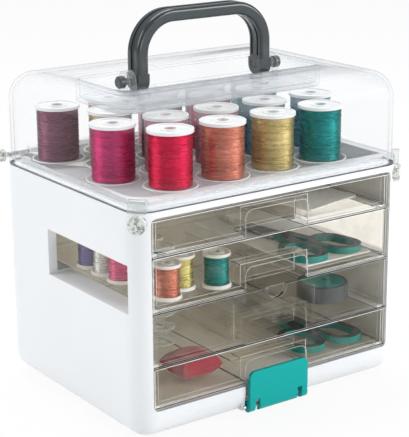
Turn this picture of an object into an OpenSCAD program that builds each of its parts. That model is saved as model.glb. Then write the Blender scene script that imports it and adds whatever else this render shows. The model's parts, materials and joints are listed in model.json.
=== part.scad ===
/* [Case] */
// Outside width of the case, left to right
body_w = 240; // [230:1:256]
// Outside depth of the case, front to back
body_d = 188; // [180:1:204]
// Height of the case from its underside to the lid seam
case_h = 166; // [160:1:172]
// Radius of the upright corners and of the bottom edges
body_r = 16; // [12:0.5:18]
// Thickness of the case walls
wall = 3; // [2.4:0.1:3.6]
// Width of each corner post beside the open front
post_w = 12.5; // [11.5:0.25:15.5]
// Height of the white band under the bottom drawer
band_h = 21.6; // [20:0.2:23]
// Height of the rim between the top drawer and the lid seam
rim_h = 5.7; // [5:0.1:6.4]
// Height of the rubber feet
foot_h = 3; // [2.5:0.1:5]
// Radius of the rubber feet
foot_r = 9; // [6:0.5:11]
// Distance of the feet from the outside of the case
foot_inset = 27; // [24:1:34]

/* [Side windows] */
// Length of each side window, front to back
window_l = 108; // [90:1:118]
// Height of each side window
window_h = 35; // [28:0.5:37]
// Distance of the window from the front of the case
window_y = 12; // [8:0.5:16]
// Height of the window sill over the underside of the case
window_z = 93.5; // [92:0.5:96]

/* [Lid] */
// Height of the clear lid over the seam
lid_h = 70; // [66:0.5:76]
// Radius of the soft top edges of the lid
lid_r = 20; // [18:0.5:24]
// Wall thickness of the clear lid
lid_t = 2.5; // [2:0.1:3]
// Height of the flange at the foot of the lid
flange_h = 5; // [4:0.2:7]
// Gap between lid and case at the seam
seam_gap = 0.5; // [0.4:0.05:0.8]
// Width of the sunk handle well
well_w = 180; // [176:1:186]
// Depth of the sunk handle well, front to back
well_d = 68; // [64:1:70]
// How deep the handle well is sunk
well_sink = 14; // [13.5:0.1:15]
// Corner radius of the handle well
well_r = 12; // [8:0.5:16]

/* [Hinge] */
// Distance of the lid hinge axis behind the case
hinge_back = 5; // [4.8:0.1:5.4]
// Height of the lid hinge axis over the seam
hinge_up = 3; // [2.6:0.1:3.4]
// Radius of the hinge knuckles
knuckle_r = 4.4; // [4:0.1:4.4]
// Radius of the hinge rod
hinge_rod_r = 1.8; // [1.4:0.1:2]
// Width of one hinge knuckle
knuckle_w = 18; // [14:0.5:22]
// Distance of the two hinge groups from the middle
hinge_x = 66; // [60:1:70]
// Radius of the end knobs of the hinge rod
hinge_knob_r = 4.8; // [4.6:0.1:5]

/* [Corner buttons] */
// Radius of the corner buttons
button_r = 6.5; // [5.5:0.1:6.8]
// How far the corner buttons stand out
button_out = 4.5; // [3:0.1:5]
// Height of the button centres under the seam
button_down = 7.5; // [7:0.1:9]

/* [Handle] */
// Outside width over the handle legs
grip_w = 120; // [114:1:122]
// Height of the grip over its pivots
grip_h = 50; // [47:0.5:56]
// Outside corner radius of the grip
grip_r = 32; // [24:1:36]
// Thickness of the grip in its own plane
grip_t = 9.5; // [8:0.1:10.5]
// Depth of the grip, front to back
grip_d = 16; // [14:0.2:16]
// Height of the pivots over the lid top
pivot_up = -1; // [-1.5:0.1:0]
// Radius of the pivot pins
pin_r = 2.5; // [2:0.1:3]
// Width of the groove along the grip
groove_w = 4.4; // [3:0.1:5]
// Depth of the groove along the grip
groove_d = 1.8; // [1.2:0.1:2.4]
// Thickness of the lugs that hold the pivots
lug_t = 6; // [5:0.2:7]
// Sideways clearance between grip and lugs
lug_gap = 1.6; // [1:0.1:2]

/* [Latch] */
// Width of the front latch
latch_w = 53.4; // [50:0.2:53.6]
// Height of the latch over the underside of the case
latch_h = 33; // [28:0.5:33.5]
// Thickness of the latch plate
latch_t = 2.4; // [2:0.1:2.6]
// How far the latch stands in front of the case
latch_out = 3.4; // [3:0.1:3.8]
// Corner radius of the latch plate
latch_r = 5; // [3:0.2:7]
// Height of the latch rod over the underside of the case
rod_z = 5.2; // [5:0.1:6]
// Radius of the latch rod
rod_r = 1.6; // [1.2:0.1:1.8]
// Width of the latch knuckles
clip_w = 5; // [4:0.2:6]
// Width of the slots beside the latch knuckles
slot_w = 4.2; // [3.6:0.1:5]

/* [Drawers] */
// Height of the top drawer
drawer_1_h = 26.5; // [25:0.1:27.5]
// Height of the second drawer
drawer_2_h = 40.2; // [39:0.1:41]
// Height of the third drawer
drawer_3_h = 39.8; // [39:0.1:41]
// Space between the drawers and the outside of the back wall
drawer_back = 16; // [16:1:38]
// Wall thickness of the clear drawers
drawer_t = 2; // [1.6:0.1:2.2]
// Thickness of the drawer front panel
panel_t = 2.6; // [2.2:0.1:3]
// Sideways clearance of each front panel
panel_gap = 0.5; // [0.4:0.05:0.8]
// Upright clearance between drawers and runners
run_gap = 0.5; // [0.4:0.05:0.6]
// Thickness of the runner ledges
ledge_t = 2.2; // [1.8:0.1:2.4]
// Width of the sunk pull in each drawer front
pull_w = 56; // [55:0.2:58]
// Depth of the sunk pull
pull_d = 15.5; // [13:0.5:18]
// Height of the pull opening
pull_h = 18; // [16:0.2:19]
// Corner radius of the pull opening
pull_r = 6; // [3:0.5:8]
// Radius of the thumb notch in the third drawer
thumb_r = 9; // [6:0.5:11]
// Height of the guide tunnel under the bottom drawer
tunnel_h = 12; // [11.5:0.1:13]
// Distance of the dividers of the third drawer from the middle
divider_x = 37; // [34:0.5:60]

/* [Spool tray] */
// Distance of the outer spool axes from the left and right edges of the tray
tray_side = 22.5; // [22:0.1:25]
// Distance of the outer spool axes from the front and back edges of the tray
tray_edge = 28; // [26:0.1:30]
// Gap between the base flanges of neighbouring spools
spool_gap = 5; // [3.4:0.1:8]
// How much smaller in radius the top flange is than the base flange
flange_step = 3.2; // [2:0.1:4.4]
// Thickness of the spool flanges
spool_flange = 2; // [1.4:0.1:2.6]
// Wall of the hollow spool core
core_t = 1.6; // [1:0.1:2]
// Height of a spool over its well floor
spool_h = 42.7; // [36:0.1:44]
// How far the wound thread stays inside the top flange
thread_inset = 1.2; // [0.4:0.1:4]
// Radius of the hollow spool core
core_r = 6; // [5:0.1:7]
// Depth of the round tray wells
tray_well = 2; // [1.2:0.1:2.4]

/* [Drawer contents] */
// Height of the small spools in the second drawer
small_h = 25.5; // [22:0.5:31]
// Radius of the core of the small spools
small_core_r = 4.5; // [3.5:0.1:5]
// Share of the space beside a pull that one small spool takes up, as a radius
small_share = 0.147; // [0.13:0.001:0.152]
// Thickness of the white card in the top drawer
card_t = 1.4; // [0.6:0.1:3]
// How much lower than the bottom drawer's share of the front the pouch ends
pouch_room = 12.8; // [10:0.1:22]
// Depth of the pouch, front to back
pouch_d = 32; // [20:0.5:40]
// Thickness of the scissor rings
ring_t = 5; // [3.6:0.1:6]
// How much shorter than its drawer the pattern card is
pattern_rest = 30; // [20:0.5:60]
// Thickness of the pattern card under the scissors
pattern_t = 1; // [0.5:0.1:2]
// Radius of the rolled tape measure in the third drawer
tape_r = 20; // [17:0.5:22]
// Height of the rolled tape measure
tape_h = 13; // [10:0.5:20]
// Radius of the clear bobbins in the third drawer
bobbin_r = 11.5; // [10:0.5:13]
// Height of one clear bobbin
bobbin_h = 11.7; // [9:0.1:13]
// Rim thickness of the clear bobbins
bobbin_t = 1.2; // [0.8:0.1:1.6]

/* [Hidden] */
$fn = 96;
// Fit used where a moving round part turns in its bore
turn_fit = 0.4;
case_z0 = foot_h;
seam_z = case_z0 + case_h;
lid_z0 = seam_z + seam_gap;
lid_top = lid_z0 + lid_h;
rear_out = hinge_back + hinge_knob_r;
button_tip = button_out * 0.7071 + button_r * 0.7071 - body_r * 0.2929;
front_out = max(latch_out, button_tip);
yc = (front_out - rear_out) / 2;
yf = yc - body_d / 2;
yb = yc + body_d / 2;
hinge_y = yb + hinge_back;
hinge_z = seam_z + hinge_up;
pivot_z = lid_top + pivot_up;
rod_y = yf - latch_out + latch_t + rod_r + turn_fit;
rod_h = case_z0 + rod_z;
clip_r = latch_t + rod_r + turn_fit;
draw_z0 = case_z0 + band_h + 1.4;
draw_z1 = seam_z - rim_h;
drawer_4_h = draw_z1 - draw_z0 - drawer_1_h - drawer_2_h - drawer_3_h;
z4 = draw_z0;
z3 = z4 + drawer_4_h;
z2 = z3 + drawer_3_h;
z1 = z2 + drawer_2_h;
open_w = body_w - 2 * post_w;
panel_w = open_w - 2 * panel_gap;
box_w = open_w - 7;
drawer_l = body_d - drawer_back;
side_bay = box_w / 2 - pull_w / 2 - 2 * drawer_t;
small_r = small_share * side_bay;
scissor_k = side_bay / 60;
card_w = 0.27 * box_w;
card_l = 0.488 * drawer_l;
body_up = ledge_t + run_gap - 0.7;
tray_z = seam_z + 5.5;
well_z = tray_z - tray_well;
notch_w = pull_w + 1;
notch_d = 10;
tray_w = body_w - 15;
tray_d = body_d - 15;
spool_pitch = (tray_w - 2 * tray_side) / 4;
row_y = (tray_d - 2 * tray_edge) / 3;
spool_base_r = (min(spool_pitch, norm([spool_pitch / 2, row_y])) - spool_gap) / 2;
spool_top_r = spool_base_r - flange_step;
thread_r = spool_top_r - thread_inset;
box_y0 = yf + panel_t + 0.3;

// Quarter round profile with a straight part above it
module edge_profile(h, r) {
  union() {
    translate([0, r]) square([r, h - r]);
    intersection() {
      translate([0, r]) circle(r);
      square([r, r]);
    }
  }
}

// Box with soft upright corners and soft bottom edges, open for a flat top
module soft_box(w, d, h, r) {
  ix = w / 2 - r;
  iy = d / 2 - r;
  union() {
    translate([-ix, -iy, 0]) cube([2 * ix, 2 * iy, h]);
    translate([ix, iy, 0]) rotate_extrude(angle = 90) edge_profile(h, r);
    translate([-ix, iy, 0]) rotate([0, 0, 90]) rotate_extrude(angle = 90) edge_profile(h, r);
    translate([-ix, -iy, 0]) rotate([0, 0, 180]) rotate_extrude(angle = 90) edge_profile(h, r);
    translate([ix, -iy, 0]) rotate([0, 0, 270]) rotate_extrude(angle = 90) edge_profile(h, r);
    translate([-ix, iy, 0]) rotate([90, 0, 90]) linear_extrude(2 * ix) edge_profile(h, r);
    translate([ix, -iy, 0]) rotate([90, 0, -90]) linear_extrude(2 * ix) edge_profile(h, r);
    translate([ix, iy, 0]) rotate([90, 0, 0]) linear_extrude(2 * iy) edge_profile(h, r);
    translate([-ix, -iy, 0]) rotate([90, 0, 180]) linear_extrude(2 * iy) edge_profile(h, r);
  }
}

// Rounded rectangle made of squares and circles
module round_rect(w, h, r) {
  union() {
    square([w - 2 * r, h], center = true);
    square([w, h - 2 * r], center = true);
    for (sx = [-1, 1], sy = [-1, 1]) translate([sx * (w / 2 - r), sy * (h / 2 - r)]) circle(r);
  }
}

// Upright prism with rounded corners
module round_prism(w, d, h, r) {
  linear_extrude(h) round_rect(w, d, r);
}

// Bar lying along X, centred on the middle
module x_bar(r, l) {
  translate([-l / 2, 0, 0]) rotate([0, 90, 0]) cylinder(h = l, r = r);
}

// Extrudes an outline of the YZ plane along X, centred on the middle
module x_prism(l) {
  translate([-l / 2, 0, 0]) rotate([90, 0, 90]) linear_extrude(l) children();
}

// Extrudes an outline of the XZ plane along Y, from y0 backwards
module y_prism(y0, l) {
  translate([0, y0 + l, 0]) rotate([90, 0, 0]) linear_extrude(l) children();
}

module window_cut() {
  translate([-body_w, yf + window_y, case_z0 + window_z]) cube([2 * body_w, window_l, window_h]);
}

// White case in one piece, before the front frame is parted from it
module whole_case() {
  difference() {
    union() {
      difference() {
        translate([0, yc, case_z0]) soft_box(body_w, body_d, case_h, body_r);
        translate([0, yc, case_z0 + wall])
          soft_box(body_w - 2 * wall, body_d - 2 * wall, case_h, body_r - wall);
      }
      translate([0, yc, case_z0 + band_h - 2.5])
        round_prism(body_w - 2 * wall, body_d - 2 * wall, 2.5, body_r - wall);
      translate([-notch_w / 2 - 2.5, yf + 1, case_z0 + wall])
        cube([notch_w + 5, notch_d + 1.5, band_h - wall]);
      for (s = [-1, 1]) translate([s * (body_w / 2 - wall - 2.5) - 2.5, yf + 16, seam_z - 5.2])
        cube([5, body_d - 32, 2.7]);
      translate([-body_w / 2 + 20, yb - wall - 5, seam_z - 5.2]) cube([body_w - 40, 5, 2.7]);
    }
    difference() {
      translate([-notch_w / 2, yf - 1, case_z0 - 1]) cube([notch_w, notch_d + 1, band_h + 2]);
      for (s = [-1, 1]) translate([s * (latch_w / 2 - clip_w - slot_w / 2), 0, rod_h])
        x_prism(slot_w - 1.2) union() {
          translate([rod_y, 0]) circle(clip_r - 1.2);
          translate([rod_y, -clip_r + 1.2]) square([notch_d, 2 * clip_r - 2.4]);
        }
    }
    y_prism(yf - 1, wall + 1.2) translate([0, (draw_z0 + draw_z1) / 2])
      round_rect(open_w, draw_z1 - draw_z0 + 2.4, 4);
    window_cut();
    translate([0, rod_y, rod_h]) x_bar(rod_r, notch_w + 3);
  }
}

module front_zone() {
  translate([-body_w, yf - 20, 0]) cube([2 * body_w, 20 + window_y, seam_z + 20]);
}

module case_shell() {
  color([0.94, 0.95, 0.95])
  difference() {
    whole_case();
    front_zone();
  }
}

// Front of the case with its two corner posts, up to the front edge of the windows
module case_front() {
  color([0.94, 0.95, 0.95])
  intersection() {
    whole_case();
    front_zone();
  }
}

module case_feet() {
  color([0.16, 0.17, 0.18])
  for (sx = [-1, 1], sy = [-1, 1])
    translate([sx * (body_w / 2 - foot_inset), yc + sy * (body_d / 2 - foot_inset), 0])
      cylinder(h = foot_h, r1 = foot_r - 1, r2 = foot_r);
}

module runner_side() {
  x0 = box_w / 2 - 3;
  x1 = body_w / 2 - wall;
  difference() {
    intersection() {
      union() {
        translate([x1 - 4, box_y0 + 1, draw_z0 - 1]) cube([4, drawer_l, draw_z1 - draw_z0]);
        for (z = [z3, z2, z1]) translate([x0, box_y0 + 1, z - 0.7]) cube([x1 - x0, drawer_l, ledge_t]);
        translate([x0, box_y0 + 1, draw_z0 - 1.4]) cube([x1 - x0, drawer_l, ledge_t + 0.7]);
      }
      translate([0, yc, case_z0]) round_prism(body_w - 2 * wall, body_d - 2 * wall, case_h, body_r - wall);
    }
    window_cut();
  }
}

module drawer_runners() {
  color([0.90, 0.92, 0.92]) {
    runner_side();
    mirror([1, 0, 0]) runner_side();
  }
}

module latch_rod() {
  color([0.75, 0.77, 0.78])
  translate([0, rod_y, rod_h]) x_bar(rod_r, notch_w + 3);
}

module corner_button() {
  ix = body_w / 2 - body_r;
  iy = body_d / 2 - body_r;
  translate([-ix, yc - iy, seam_z - button_down]) rotate([0, 0, -45]) rotate([90, 0, 0])
    rotate_extrude() union() {
      square([button_r - 1, body_r + button_out]);
      square([button_r, body_r + button_out - 1]);
      translate([button_r - 1, body_r + button_out - 1]) circle(1);
    }
}

module corner_buttons() {
  ix = body_w / 2 - body_r;
  iy = body_d / 2 - body_r;
  color([0.86, 0.90, 0.88])
  difference() {
    union() {
      corner_button();
      mirror([1, 0, 0]) corner_button();
    }
    translate([0, yc, case_z0]) soft_box(body_w, body_d, case_h + 10, body_r);
  }
}

module case_hinge_knuckles() {
  color([0.92, 0.93, 0.93])
  for (s = [-1, 1], k = [-1, 1])
    translate([s * hinge_x + k * (knuckle_w + 0.8), 0, 0])
      difference() {
        x_prism(knuckle_w) union() {
          translate([hinge_y, hinge_z]) circle(knuckle_r);
          translate([yb, hinge_z - 14]) square([hinge_back + knuckle_r - 2, 14 - hinge_up]);
        }
        translate([0, hinge_y, hinge_z]) x_bar(hinge_rod_r, knuckle_w + 2);
        translate([-knuckle_w, hinge_y, hinge_z - 16]) rotate([22, 0, 0]) cube([2 * knuckle_w, 12, 13]);
      }
}

module hinge_rod() {
  color([0.78, 0.80, 0.81])
  translate([0, hinge_y, hinge_z]) union() {
    x_bar(hinge_rod_r, body_w - 8);
    for (s = [-1, 1]) translate([s * (body_w / 2 - 5), 0, 0]) rotate([0, s * 90, 0])
      rotate_extrude() union() {
        square([hinge_knob_r - 1, 5]);
        square([hinge_knob_r, 4]);
        translate([hinge_knob_r - 1, 4]) circle(1);
      }
  }
}

SPOTS = [
  [-1.5, -1.5], [-0.5, -1.5], [0.5, -1.5], [1.5, -1.5],
  [-2, -0.5], [-1, -0.5], [0, -0.5], [1, -0.5], [2, -0.5],
  [-1.5, 0.5], [-0.5, 0.5], [0.5, 0.5], [1.5, 0.5],
  [-2, 1.5], [-1, 1.5], [0, 1.5], [1, 1.5], [2, 1.5]];

module at_spots(which) {
  for (i = which) translate([SPOTS[i][0] * spool_pitch, yc + SPOTS[i][1] * row_y, 0]) children();
}

module spool_tray() {
  color([0.93, 0.94, 0.94])
  difference() {
    union() {
      translate([0, yc, seam_z - 5]) round_prism(tray_w - 1, tray_d - 1, 10.5, 11);
      translate([0, yc, seam_z - 2.5]) round_prism(body_w - 2 * wall - 1.2, body_d - 2 * wall - 1.2, 2.3, body_r - wall - 0.6);
    }
    translate([0, yc, seam_z - 6]) round_prism(tray_w - 6, tray_d - 6, 7, 8);
    at_spots([0:17]) translate([0, 0, well_z]) cylinder(h = 10, r = spool_base_r + 0.8);
  }
}

module reel(h, rb, rt, rc) {
  rotate_extrude() difference() {
    union() {
      translate([rc - core_t, 0]) square([core_t, h]);
      translate([rc - core_t, 0]) square([rb - rc + core_t, spool_flange]);
      translate([rc - core_t, h - spool_flange - 0.2]) square([rt - rc + core_t, spool_flange + 0.2]);
      translate([rb - 0.7, spool_flange]) circle(0.6);
    }
    translate([rc + 1, h - 1]) square([rt - rc - 2.6, 2]);
  }
}

module spool_reels() {
  color([0.95, 0.95, 0.93])
  at_spots([0:17]) translate([0, 0, well_z]) reel(spool_h, spool_base_r, spool_top_r, core_r);
}

module windings(which) {
  wh = spool_h - 2 * spool_flange - 0.2;
  at_spots(which) translate([0, 0, well_z + spool_flange]) rotate_extrude() union() {
    translate([core_r, 0]) square([thread_r - core_r - 1.2, wh]);
    translate([core_r, 1.2]) square([thread_r - core_r, wh - 2.4]);
    translate([thread_r - 1.2, 1.2]) circle(1.2);
    translate([thread_r - 1.2, wh - 1.2]) circle(1.2);
  }
}

module thread_mauve() {
  color([0.55, 0.25, 0.40]) windings([10, 13, 16]);
}

module thread_crimson() {
  color([0.75, 0.05, 0.22]) windings([0, 11]);
}

module thread_magenta() {
  color([0.80, 0.08, 0.36]) windings([4]);
}

module thread_copper() {
  color([0.84, 0.47, 0.35]) windings([1, 14]);
}

module thread_gold() {
  color([0.80, 0.73, 0.43]) windings([2, 9]);
}

module thread_teal() {
  color([0.08, 0.63, 0.60]) windings([3, 12]);
}

module thread_blue() {
  color([0.33, 0.50, 0.66]) windings([7, 8, 17]);
}

module thread_rose() {
  color([0.90, 0.50, 0.60]) windings([5, 6, 15]);
}

module lid_dome(w, d, h, r) {
  translate([0, 0, h]) mirror([0, 0, 1]) soft_box(w, d, h, r);
}

module lid_shell() {
  color([0.80, 0.86, 0.88, 0.35])
  difference() {
    union() {
      difference() {
        union() {
          translate([0, yc, lid_z0]) lid_dome(body_w - 0.8, body_d - 0.8, lid_h, lid_r);
          translate([0, yc, lid_z0]) round_prism(body_w, body_d, flange_h, body_r);
        }
        translate([0, yc, lid_z0 - 1])
          lid_dome(body_w - 0.8 - 2 * lid_t, body_d - 0.8 - 2 * lid_t, lid_h + 1 - lid_t, lid_r - lid_t);
      }
      translate([0, yc, lid_top - well_sink - lid_t])
        round_prism(well_w + 2 * lid_t, well_d + 2 * lid_t, well_sink + lid_t - 1, well_r + lid_t);
    }
    translate([0, yc, lid_top - well_sink]) round_prism(well_w, well_d, well_sink + 1, well_r);
  }
}

module lid_hinge_knuckles() {
  color([0.80, 0.86, 0.88, 0.5])
  for (s = [-1, 1]) translate([s * hinge_x, 0, 0])
    difference() {
      x_prism(knuckle_w) union() {
        translate([hinge_y, hinge_z]) circle(knuckle_r);
        translate([yb, hinge_z]) square([hinge_back, 4]);
      }
      translate([0, hinge_y, hinge_z]) x_bar(hinge_rod_r + turn_fit, knuckle_w + 2);
    }
}

module corner_tab() {
  ix = body_w / 2 - body_r;
  iy = body_d / 2 - body_r;
  translate([-ix, yc - iy, lid_z0]) rotate([0, 0, -45])
    translate([-button_r, -body_r - 3, 0]) cube([2 * button_r, body_r, flange_h + 4]);
}

module lid_corner_tabs() {
  color([0.80, 0.88, 0.86, 0.5])
  difference() {
    union() {
      corner_tab();
      mirror([1, 0, 0]) corner_tab();
    }
    translate([0, yc, lid_z0 - 1]) round_prism(body_w, body_d, flange_h + 1, body_r);
    translate([0, yc, lid_z0]) lid_dome(body_w - 0.8, body_d - 0.8, lid_h, lid_r);
  }
}

module handle_lug() {
  x0 = grip_w / 2 + lug_gap;
  floor_z = lid_top - well_sink;
  difference() {
    translate([x0 + lug_t / 2, 0, 0]) x_prism(lug_t) union() {
      translate([yc, pivot_z]) circle(grip_d / 2);
      translate([yc - grip_d / 2, floor_z]) square([grip_d, pivot_z - floor_z]);
    }
    translate([x0 - 1, yc, pivot_z]) rotate([0, 90, 0]) cylinder(h = lug_t + 2, r = pin_r + turn_fit);
  }
}

module handle_lugs() {
  color([0.80, 0.86, 0.88, 0.5]) {
    handle_lug();
    mirror([1, 0, 0]) handle_lug();
  }
}

// Section of the grip, x runs outwards from the inner face, y across
module grip_section() {
  difference() {
    translate([grip_t / 2, 0]) round_rect(grip_t, grip_d, 2.6);
    translate([grip_t - groove_d, -groove_w / 2]) square([groove_d + 1, groove_w]);
    for (s = [-1, 1]) translate([-1, s * 3.4 - 0.9]) square([2, 1.8]);
  }
}

module inlay_section() {
  translate([grip_t - groove_d, -groove_w / 2]) square([groove_d - 0.7, groove_w]);
}

// Sweeps a section round the arch of the grip, from pivot to pivot
module arch_sweep() {
  ri = grip_r - grip_t;
  xc = grip_w / 2 - grip_r;
  zc = pivot_z + grip_h - grip_r;
  leg = grip_h - grip_r - 4;
  for (m = [0, 1]) mirror([m, 0, 0]) translate([0, yc, 0]) {
    translate([xc, 0, zc]) rotate([90, 0, 0]) rotate_extrude(angle = 90) translate([ri, 0]) children();
    translate([xc + ri, 0, zc - leg]) linear_extrude(leg) children();
  }
  translate([-xc, yc, zc + ri]) rotate([0, 90, 0]) mirror([1, 0, 0]) linear_extrude(2 * xc) children();
}

module handle_grip() {
  color([0.27, 0.32, 0.33])
  union() {
    arch_sweep() grip_section();
    for (s = [-1, 1]) translate([s * (grip_w / 2 - grip_t / 2), yc, pivot_z]) difference() {
      union() {
        x_bar(grip_d / 2, grip_t);
        translate([-grip_t / 2, -grip_d / 2, 0]) cube([grip_t, grip_d, 5]);
      }
      x_bar(pin_r, grip_t + 2);
    }
  }
}

module handle_inlay() {
  color([0.12, 0.14, 0.15])
  difference() {
    arch_sweep() inlay_section();
    translate([-body_w, yc - 20, pivot_z - 10]) cube([2 * body_w, 40, 18.2]);
  }
}

module handle_pins() {
  x0 = grip_w / 2 - grip_t;
  x1 = grip_w / 2 + lug_gap + lug_t + 0.5;
  color([0.30, 0.33, 0.34])
  for (s = [0, 1]) mirror([s, 0, 0]) translate([x0, yc, pivot_z]) rotate([0, 90, 0]) union() {
    cylinder(h = x1 - x0 + 1, r = pin_r);
    cylinder(h = grip_t, r = pin_r);
    translate([0, 0, grip_t]) cylinder(h = lug_gap - 0.6, r = pin_r + 1.8);
    translate([0, 0, x1 - x0]) cylinder(h = 4, r = pin_r + 2);
    translate([0, 0, x1 - x0 + 4]) cylinder(h = 1, r1 = pin_r + 2, r2 = pin_r + 1);
  }
}

module latch_plate() {
  top = case_z0 + latch_h;
  color([0.0, 0.70, 0.69])
  difference() {
    union() {
      intersection() {
        x_prism(latch_w) union() {
          translate([yf - latch_out, rod_h]) square([latch_t, top - rod_h]);
          intersection() {
            difference() {
              translate([rod_y, rod_h]) circle(clip_r);
              translate([rod_y, rod_h]) circle(clip_r - latch_t);
            }
            translate([rod_y - clip_r, rod_h - clip_r]) square([clip_r, clip_r]);
          }
        }
        y_prism(yf - 20, 40) translate([0, top - 30]) round_rect(latch_w, 60, latch_r);
      }
      for (s = [-1, 1]) translate([s * (latch_w / 2 - clip_w / 2), 0, 0]) x_prism(clip_w) difference() {
        translate([rod_y, rod_h]) circle(clip_r);
        translate([rod_y, rod_h]) circle(rod_r + turn_fit);
        translate([rod_y + 2.6, rod_h - 1.2]) square([6, 5]);
      }
      for (x = [-14, 0, 14]) translate([x - 0.8, yf - latch_out + latch_t - 0.5, rod_h + 8])
        cube([1.6, 4, latch_h - 17]);
      translate([-latch_w / 2 + 6, yf - latch_out + latch_t - 0.5, top - 4]) cube([latch_w - 12, 3, 1.8]);
    }
    for (s = [-1, 1]) translate([s * (latch_w / 2 - clip_w - slot_w / 2) - slot_w / 2, yf - 10, 0])
      cube([slot_w, 30, rod_h + clip_r + 1.4]);
  }
}

// Clear drawer: z is the lower edge of its bay, h the bay height
module drawer_body(z, h, ph) {
  fz = z + 0.3;
  fh = h - 1;
  bz = z + body_up;
  bh = h - body_up - 1.2;
  difference() {
    union() {
      y_prism(yf + 0.3, panel_t) translate([0, fz + fh / 2]) round_rect(panel_w, fh, 1.2);
      difference() {
        translate([-box_w / 2, box_y0 - 0.5, bz]) cube([box_w, drawer_l, bh]);
        translate([-box_w / 2 + drawer_t, box_y0 + drawer_t - 1, bz + drawer_t])
          cube([box_w - 2 * drawer_t, drawer_l - 2 * drawer_t, bh]);
      }
      translate([-pull_w / 2 - drawer_t, box_y0 - 0.5, bz])
        cube([pull_w + 2 * drawer_t, pull_d - panel_t + drawer_t, ph + drawer_t + z - bz]);
    }
    y_prism(yf - 1, pull_d + 1) union() {
      translate([0, z + ph - 30]) round_rect(pull_w, 60, pull_r);
    }
  }
}

module drawer_1() {
  color([0.78, 0.80, 0.78, 0.4]) drawer_body(z1, drawer_1_h, pull_h + 2);
}

module drawer_2() {
  color([0.78, 0.80, 0.78, 0.4]) drawer_body(z2, drawer_2_h, pull_h);
}

module drawer_3() {
  bz = z3 + body_up + drawer_t - 0.5;
  color([0.78, 0.80, 0.78, 0.4])
  difference() {
    union() {
      drawer_body(z3, drawer_3_h, pull_h);
      for (s = [-1, 1]) translate([s * divider_x - 0.8, box_y0 + 1, bz])
        cube([1.6, drawer_l - 3, drawer_3_h - 12]);
    }
    y_prism(yf - 1, 1 + panel_t + 0.8) translate([0, z3 + drawer_3_h - 0.7]) circle(thumb_r);
  }
}

module drawer_4() {
  bz = z4 + body_up;
  color([0.78, 0.80, 0.78, 0.4])
  difference() {
    union() {
      drawer_body(z4, drawer_4_h, pull_h);
      translate([-pull_w / 2 - drawer_t, box_y0 - 0.5, bz])
        cube([pull_w + 2 * drawer_t, drawer_l, tunnel_h + drawer_t + z4 - bz]);
    }
    y_prism(yf - 1, pull_d + 1) translate([0, z4 + pull_h - 30]) round_rect(pull_w, 60, pull_r);
    translate([-pull_w / 2, yf - 1, z4 - 1]) cube([pull_w, body_d, tunnel_h + 1]);
  }
}

module small_reel_spots(which) {
  P = [[0.24, 1.13], [0.51, 2.2], [0.83, 1.13], [0.153, 5.8], [0.153, 7.85], [0.153, 9.9], [0.5, 4.46], [0.583, 6.7]];
  for (i = which) translate([
    drawer_t - box_w / 2 + P[i][0] * side_bay,
    yf + panel_t + 1.8 + P[i][1] * small_r,
    z2 + body_up + drawer_t]) children();
}

module small_reels() {
  color([0.95, 0.95, 0.93])
  small_reel_spots([0:7]) reel(small_h, small_r, small_r - 0.4, small_core_r);
}

module small_windings(which) {
  wr = small_r - 1.7 - small_core_r;
  small_reel_spots(which) translate([0, 0, spool_flange]) rotate_extrude()
    translate([small_core_r, 0]) square([wr, small_h - 2 * spool_flange - 0.2]);
}

module small_thread_copper() {
  color([0.80, 0.50, 0.42]) small_windings([0]);
}

module small_thread_yellow() {
  color([0.92, 0.88, 0.55]) small_windings([1, 7]);
}

module small_thread_teal() {
  color([0.20, 0.58, 0.62]) small_windings([2, 6]);
}

module small_thread_lilac() {
  color([0.50, 0.50, 0.75]) small_windings([5]);
}

module small_thread_white() {
  color([0.93, 0.93, 0.93]) small_windings([4]);
}

module small_thread_pink() {
  color([0.95, 0.50, 0.65]) small_windings([3]);
}

module stitch_card() {
  color([0.95, 0.95, 0.94])
  translate([0.298 * box_w, box_y0 + 0.343 * drawer_l, z1 + body_up + drawer_t])
    rotate([0, 0, 12]) round_prism(card_w, card_l, card_t, 3);
}

// One scissor half: ring grip joined to a tapering blade
module scissor_grip_half() {
  k = scissor_k;
  linear_extrude(ring_t) union() {
    difference() {
      round_rect(25 * k, 36 * k, 12 * k);
      round_rect(16 * k, 27 * k, 7.8 * k);
    }
    translate([3 * k, 14 * k]) square([7 * k, 26 * k]);
  }
}

module scissor_grips() {
  rotate([0, 0, -8]) translate([-14 * scissor_k, 0, 0]) scissor_grip_half();
  mirror([1, 0, 0]) rotate([0, 0, -8]) translate([-14 * scissor_k, 0, 0]) scissor_grip_half();
}

module scissor_blades() {
  k = scissor_k;
  blade = [[-7, 32], [1, 30], [8, 42], [4, 96], [2, 100], [-1, 60]];
  difference() {
    union() {
      linear_extrude(1.5) polygon(k * blade);
      translate([0, 0, 1.5]) linear_extrude(1.5) polygon([for (q = blade) [-k * q[0], k * q[1]]]);
      translate([0, 42 * k, 0]) cylinder(h = 4.4, r = 3.2 * k);
    }
    translate([-1.6 * k, 42 * k - 0.4, 3.8]) cube([3.2 * k, 0.8, 2]);
  }
}

module upper_scissors_at() {
  translate([box_w / 2 - drawer_t - side_bay / 2, yf + 9 + 18 * scissor_k, z2 + body_up + drawer_t + pattern_t])
    rotate([0, 0, 4]) children();
}

module lower_scissors_at() {
  translate([box_w / 2 - drawer_t - side_bay / 2, yf + 8 + 18 * scissor_k, z4 + body_up + drawer_t])
    rotate([0, 0, -2]) children();
}

module upper_scissor_blades() {
  color([0.78, 0.79, 0.80]) upper_scissors_at() scissor_blades();
}

module upper_scissor_grips() {
  color([0.40, 0.45, 0.47]) upper_scissors_at() difference() {
    scissor_grips();
    scissor_blades();
  }
}

module lower_scissor_blades() {
  color([0.78, 0.79, 0.80]) lower_scissors_at() scissor_blades();
}

module lower_scissor_grips() {
  color([0.20, 0.55, 0.52]) lower_scissors_at() difference() {
    scissor_grips();
    scissor_blades();
  }
}

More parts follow.
